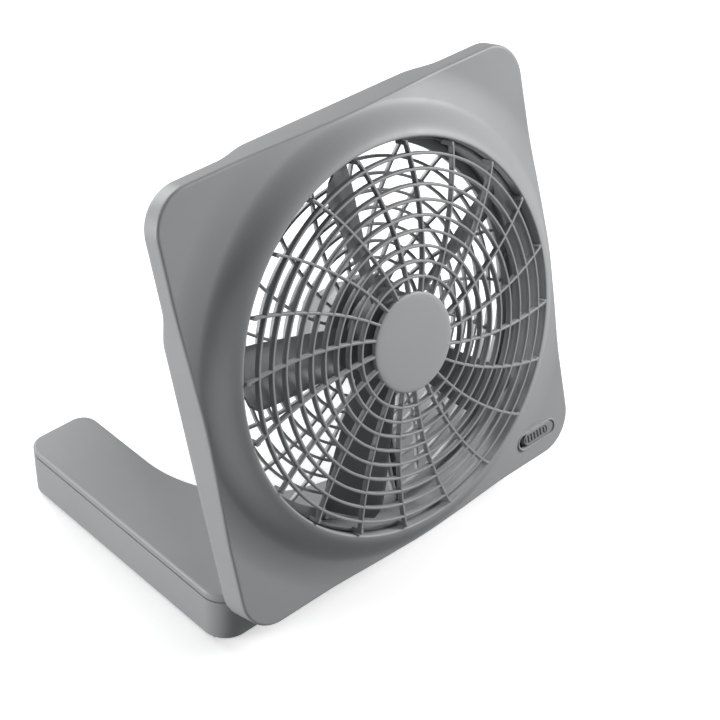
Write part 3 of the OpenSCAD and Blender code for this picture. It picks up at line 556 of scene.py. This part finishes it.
def rear_grille():
    b = Builder()
    hole, mount = OPEN_R - 4.0, 34.0
    pitch = (hole - 2 - mount) / 8
    for k in range(1, 8):
        ring_bar(b, mount + k * pitch, INNER_N + 1.0, BAR_W, 3.2, 192)
    swirl = lambda r: -1.4 * SPOKE_SWIRL * (r - HUB_R) / (OPEN_R - HUB_R)
    for k in range(SPOKES):
        a0 = math.radians(9 + SPOKE_STEP * k)
        path = [(r * math.cos(a0 + swirl(r)), r * math.sin(a0 + swirl(r)), INNER_N + 0.95)
                for r in np.linspace(mount - 1, hole - 1.6, 22)]
        sweep(b, path, BAR_W, 3.2)
    revolve(b, [(hole - 3, REAR_N + 0.5), (hole - 2.7, REAR_N + 0.2), (hole - 0.6, REAR_N + 0.2),
                (hole - 0.3, REAR_N + 0.5), (hole - 0.3, INNER_N), (OPEN_R - 0.4, INNER_N),
                (OPEN_R - 0.4, INNER_N + 1.7), (OPEN_R - 0.7, INNER_N + 2),
                (hole - 2.6, INNER_N + 2), (hole - 3, INNER_N + 1.6)], close_col=True)
    revolve(b, [(9, INNER_N), (33.2, INNER_N), (33.8, INNER_N - 0.3), (34, INNER_N - 0.8),
                (34, REAR_N + 0.3), (33.7, REAR_N), (9, REAR_N)],
            128, close_col=True)
    # Channel for the leads down to the rim
    half, groove = 4.5, 2.0
    lo_v, hi_v = -(hole - 1.5), -33.0
    sec = [(-half + 0.4, REAR_N + 0.2), (-half, REAR_N + 0.6), (-half, INNER_N + 1.4),
           (-half + 0.4, INNER_N + 1.8), (-groove - 0.3, INNER_N + 1.8), (-groove, INNER_N + 1.5),
           (-groove, INNER_N - 1.4), (groove, INNER_N - 1.4), (groove, INNER_N + 1.5),
           (groove + 0.3, INNER_N + 1.8), (half - 0.4, INNER_N + 1.8), (half, INNER_N + 1.4),
           (half, REAR_N + 0.6), (half - 0.4, REAR_N + 0.2)]
    b.grid([[(x, v, n) for x, n in sec] for v in (lo_v, hi_v)], cap_first=True, cap_last=True)
    return add_mesh("rear_grille_bars", to_world(b.verts), b.faces, "grille_plastic", "housing",
                    ["rear_grille"], 50)


rear_grille()


# ---- Impeller ----
BLADES, BLADE_START = 5, 26


def impeller():
    b = Builder()
    back, front, mid = -28.0, -6.0, -17.0
    revolve(b, [(2, front), (22, front), (25.0, front - 0.35), (26.8, front - 1.3), (27.7, front - 2.6),
                (28, front - 4.5), (28, back + 4.3), (27.7, back + 4), (26.3, back + 4), (26, back + 4.3),
                (26, front - 2.6), (25, front - 2), (2, front - 2)], 160, close_col=True)
    tip = OPEN_R - 8.0
    lo_r = np.array([26.0, 40, 70, 95, tip - 6, tip])
    y_lo = np.array([-9.0, -10, -13, -15.5, -16, -12.0])
    y_hi = np.array([9.0, 10.5, 14, 17.5, 18.5, 14.0])
    for k in range(BLADES):
        a0 = math.radians(BLADE_START + 360 / BLADES * k)
        top, bottom = [], []
        for r in np.r_[np.linspace(26.2, tip - 6, 26), np.linspace(tip - 5, tip, 6)]:
            a, c = np.interp(r, lo_r, y_lo), np.interp(r, lo_r, y_hi)
            q = np.linspace(0, 1, 22)
            y = a + (c - a) * q
            x = np.sqrt(np.maximum(r * r - y * y, 0))
            reach = np.interp(r, [26, 60, tip], [8.6, 9.6, 9.2])
            camber = 3.0 * (4 * q * (1 - q)) * np.interp(r, [26, tip], [0.8, 0.35])
            n = mid + reach * (2 * q - 1) + camber - 0.8
            t = 0.95 * np.sqrt(np.clip(4 * q * (1 - q), 0, 1)) ** 0.5
            ca, sa = math.cos(a0), math.sin(a0)
            for s, out in ((1, top), (-1, bottom)):
                out.append(np.c_[x * ca - y * sa, x * sa + y * ca, np.clip(n + s * t, back, front)])
        rows = [np.r_[u, l[::-1][1:-1]] for u, l in zip(top, bottom)]
        b.grid(rows, cap_first=True, cap_last=True)
    return add_mesh("impeller_blades", to_world(b.verts), b.faces, "blade_plastic", "rotor", ["impeller"], 40)


impeller()


# ---- Switch slider ----
def slider():
    b = Builder()
    cu, cv = SWITCH_U + SLIDER_SHIFT, SWITCH_V
    cn = float(face_n(np.array([[SWITCH_U, SWITCH_V]]))[0])
    length, width = 28.7, 8.9

    def ring(l, w, n, dx=0.0):
        s = stadium(l, w)
        return np.c_[s[:, 0] + cu + dx, s[:, 1] + cv, np.full(len(s), cn + n)]
    b.grid([ring(length, width, -3.8), ring(length, width, 0.2), ring(length - 0.2, width - 0.2, 0.6),
            ring(length - 0.7, width - 0.7, 0.8), ring(21.9, 6.5, 0.8, -2.6), ring(21.7, 6.3, 0.7, -2.6),
            ring(21.6, 6.2, 0.0, -2.6)], cap_first=True, cap_last=True)
    for i in range(7):
        x = cu - 12 + 3 * i
        h = 2.55 if 0 < i < 6 else 2.0
        rows = []
        for n, s in ((-0.1, 0.0), (0.75, 0.05), (0.95, 0.2), (1.0, 0.45)):
            rows.append([(x + i * (0.75 - s), cv + k * (h - s), cn + n)
                         for i, k in ((-1, -1), (1, -1), (1, 1), (-1, 1))])
        b.grid(rows, cap_first=True, cap_last=True)
    b.box((cu - 13.3, cv - 6.3, cn - 4.0), (cu + 13.3, cv + 6.3, cn - 2.8))
    return add_mesh("switch_slider_cap", to_world(b.verts), b.faces, "slider_plastic", "slider",
                    ["switch_slider"], 35)


slider()


# ---- Base ----
tray_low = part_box("base_tray")[0]
lid_low, lid_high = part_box("base_lid")
W = lid_high.x / MM
Y_F, Y_B = lid_low.y / MM, lid_high.y / MM
ARM = 50.0
CUT_R = W - ARM
HINGE_Y = joints["housing_fold"]["pos_m"][1] / MM
HINGE_Z = joints["housing_fold"]["pos_m"][2] / MM
CUT_Y = HINGE_Y + HALF - HINGE_UP
FRONT_R, END_R = 18.0, 12.0


def u_outline(inset, z):
    """The base's U, moved inwards by an amount."""
    pts = []

    def arc(cx, cy, r, a0, a1, count):
        for a in np.radians(np.linspace(a0, a1, count)):
            pts.append((cx + r * math.cos(a), cy + r * math.sin(a), z))
    arc(W - FRONT_R, Y_F + FRONT_R, FRONT_R - inset, -90, 0, 24)
    arc(W - END_R, Y_B - END_R, END_R - inset, 0, 90, 20)
    arc(CUT_R + END_R, Y_B - END_R, END_R - inset, 90, 180, 20)
    arc(0, CUT_Y, CUT_R + inset, 0, -180, 121)
    arc(-CUT_R - END_R, Y_B - END_R, END_R - inset, 0, 90, 20)
    arc(-W + END_R, Y_B - END_R, END_R - inset, 90, 180, 20)
    arc(-W + FRONT_R, Y_F + FRONT_R, FRONT_R - inset, 180, 270, 24)
    return np.array(pts)


def cutter(points, faces):
    me = bpy.data.meshes.new("cutter")
    me.from_pydata([tuple(map(float, p)) for p in points], [], faces)
    obj = bpy.data.objects.new("cutter", me)
    bpy.context.scene.collection.objects.link(obj)
    bm = bmesh.new()
    bm.from_mesh(me)
    bmesh.ops.recalc_face_normals(bm, faces=bm.faces)
    bm.to_mesh(me)
    bm.free()
    return obj


def box_cutter(low, high):
    b = Builder()
    b.box(low, high)
    return cutter(plain(b.verts), b.faces)


def round_cutter(centre, r, length, axis, count=40):
    b = Builder()
    rows = []
    for t in (-length / 2, length / 2):
        c = circle(r, t, count)
        c = c if axis == "z" else c[:, [0, 2, 1]]
        rows.append(c + np.array(centre))
    b.grid(rows, cap_first=True, cap_last=True)
    return cutter(plain(b.verts), b.faces)


def notches():
    return [box_cutter((x - 8.8, Y_F - 2, HINGE_Z - 6.8), (x + 8.8, HINGE_Y + 6.8, 60)) 
            for x in (-LUG_X, LUG_X)]


def base_lid():
    b = Builder()
    top, low = lid_high.z / MM, lid_low.z / MM
    r = 1.8
    rows = [u_outline(2.0, top - 1.6), u_outline(2.0, low + 0.5), u_outline(0.5, low + 0.5),
            u_outline(0.15, low + 0.6), u_outline(0.05, low + 0.9)]
    for i in range(8):
        a = math.radians(90 * i / 7)
        rows.append(u_outline(0.05 + r * (1 - math.cos(a)), top - r * (1 - math.sin(a))))
    b.grid(rows, cap_first=True, cap_last=True)
    return add_mesh("base_lid_skin", plain(b.verts), b.faces, "body_plastic", "base",
                    ["base_lid"], 30, notches())


base_lid()


def base_tray():
    b = Builder()
    low, top = tray_low.z / MM, lid_low.z / MM
    r = 2.6
    rows = []
    for i in range(8):
        a = math.radians(90 * (1 - i / 7))
        rows.append(u_outline(0.02 + r * (1 - math.cos(a)), low + r * (1 - math.sin(a))))
    rows += [u_outline(0.0, top - 0.7), u_outline(0.12, top - 0.6), u_outline(0.45, top - 0.5),
             u_outline(2.0, top - 0.5), u_outline(2.0, low + 1.6)]
    b.grid(rows, cap_first=True, cap_last=True)
    cuts = notches()
    arm_x = W - ARM / 2
    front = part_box("battery_door_left")[0].y / MM
    for x in (-arm_x, arm_x):
        cuts.append(box_cutter((x - 17.7, front - 0.3, low - 1), (x + 17.7, Y_B + 5, low + 1.9)))
    web_back = CUT_Y - CUT_R
    cuts.append(round_cutter((0, web_back, 17), 5, 6, "y"))
    screws = [(s * x, Y_F + 25) for s in (-1, 1) for x in (20, 55)]
    screws += [(s * (W - 3.4), Y_B - y) for s in (-1, 1) for y in (25, 120)]
    for x, y in screws:
        cuts.append(round_cutter((x, y, low), 2.15, 2.4, "z", 28))
    tray = add_mesh("base_tray_skin", plain(b.verts), b.faces, "body_plastic", "base",
                    ["base_tray"], 30, cuts)
    # Blocks that hold the hinge pins, and the walls in front of the cells
    b = Builder()
    for x in (-LUG_X, LUG_X):
        for s in (-1, 1):
            lo_x, hi_x = sorted((x + s * 8.8, x + s * 15.8))
            b.box((lo_x, Y_F + 2.2, low + 0.5), (hi_x, HINGE_Y + 8.3, lid_high.z / MM - 1.6))
    row_front = front - 1.0
    for x in (-arm_x, arm_x):
        b.box((x - 23, row_front - 1.6, low + 0.5), (x + 23, row_front, 27))
    b.box((-6, web_back - 13, low + 0.5), (6, web_back - 1.5, 11))
    add_mesh("base_tray_blocks", plain(b.verts), b.faces, "body_plastic", "base", [], 30)
    return tray


base_tray()


# ---- Stage ----
def stage():
    # Pale paper that shows almost white and throws little light back up
    mat, nt, sh = nodes_of("floor_paper")
    co = nt.nodes.new("ShaderNodeTexCoord").outputs["Object"]
    tone = mixed(nt, noise(nt, co, 3, 2), (0.87, 0.87, 0.87), (0.89, 0.89, 0.89))
    nt.links.new(tone, sh.inputs["Base Color"])
    sh.inputs["Roughness"].default_value = 0.9
    sh.inputs["Specular IOR Level"].default_value = 0.1
    sh.inputs["Emission Color"].default_value = (1, 1, 1, 1)
    sh.inputs["Emission Strength"].default_value = FLOOR_LIFT
    dim = nt.nodes.new("ShaderNodeBsdfDiffuse")
    dim.inputs["Color"].default_value = (FLOOR_BOUNCE, FLOOR_BOUNCE, FLOOR_BOUNCE, 1)
    mix = nt.nodes.new("ShaderNodeMixShader")
    path = nt.nodes.new("ShaderNodeLightPath")
    nt.links.new(path.outputs["Is Camera Ray"], mix.inputs["Fac"])
    nt.links.new(dim.outputs["BSDF"], mix.inputs[1])
    nt.links.new(sh.outputs["BSDF"], mix.inputs[2])
    nt.links.new(mix.outputs["Shader"], nt.nodes["Material Output"].inputs["Surface"])
    me = bpy.data.meshes.new("floor")
    s = 6.0
    me.from_pydata([(-s, -s, 0), (s, -s, 0), (s, s, 0), (-s, s, 0)], [], [(0, 1, 2, 3)])
    me.materials.append(mat)
    floor = bpy.data.objects.new("floor", me)
    bpy.context.scene.collection.objects.link(floor)
    world = bpy.data.worlds.new("World")
    world.use_nodes = True
    bpy.context.scene.world = world
    wt = world.node_tree
    bg = wt.nodes["Background"]
    bg.inputs["Color"].default_value = (1, 1, 1, 1)
    # The room is brighter on the right than on the left
    side = wt.nodes.new("ShaderNodeSeparateXYZ")
    wt.links.new(wt.nodes.new("ShaderNodeTexCoord").outputs["Generated"], side.inputs["Vector"])
    span = wt.nodes.new("ShaderNodeMapRange")
    span.inputs["From Min"].default_value = -1.0
    span.inputs["To Min"].default_value, span.inputs["To Max"].default_value = AMBIENT
    wt.links.new(side.outputs["X"], span.inputs["Value"])
    wt.links.new(span.outputs["Result"], bg.inputs["Strength"])
    seen = wt.nodes.new("ShaderNodeBackground")
    seen.inputs["Strength"].default_value = 1.0
    seen.inputs["Color"].default_value = (0.98, 0.98, 0.98, 1)
    wmix = wt.nodes.new("ShaderNodeMixShader")
    wpath = wt.nodes.new("ShaderNodeLightPath")
    wt.links.new(wpath.outputs["Is Camera Ray"], wmix.inputs["Fac"])
    wt.links.new(bg.outputs["Background"], wmix.inputs[1])
    wt.links.new(seen.outputs["Background"], wmix.inputs[2])
    wt.links.new(wmix.outputs["Shader"], wt.nodes["World Output"].inputs["Surface"])
    for name, place, look, size, power in LIGHTS:
        light = bpy.data.lights.new(name, "AREA")
        light.shape = "SQUARE"
        light.size = size
        light.energy = power
        obj = bpy.data.objects.new(name, light)
        bpy.context.scene.collection.objects.link(obj)
        obj.location = place
        obj.rotation_euler = (Vector(look) - Vector(place)).to_track_quat("-Z", "Y").to_euler()
    bpy.context.scene.view_settings.view_transform = "Standard"


AMBIENT = (0.05, 0.31)
FLOOR_LIFT = 0.45
FLOOR_BOUNCE = 0.38
LIGHTS = (
    ("above_back", (0.1, 1.9, 1.0), (0, 0, 0.2), 1.2, 32),
    ("right_front", (1.15, -0.75, 0.85), (0.05, 0, 0.25), 0.6, 24),
    ("left_side", (-2.2, 1.1, 0.3), (0, 0, 0.1), 1.0, 68),
)
stage()
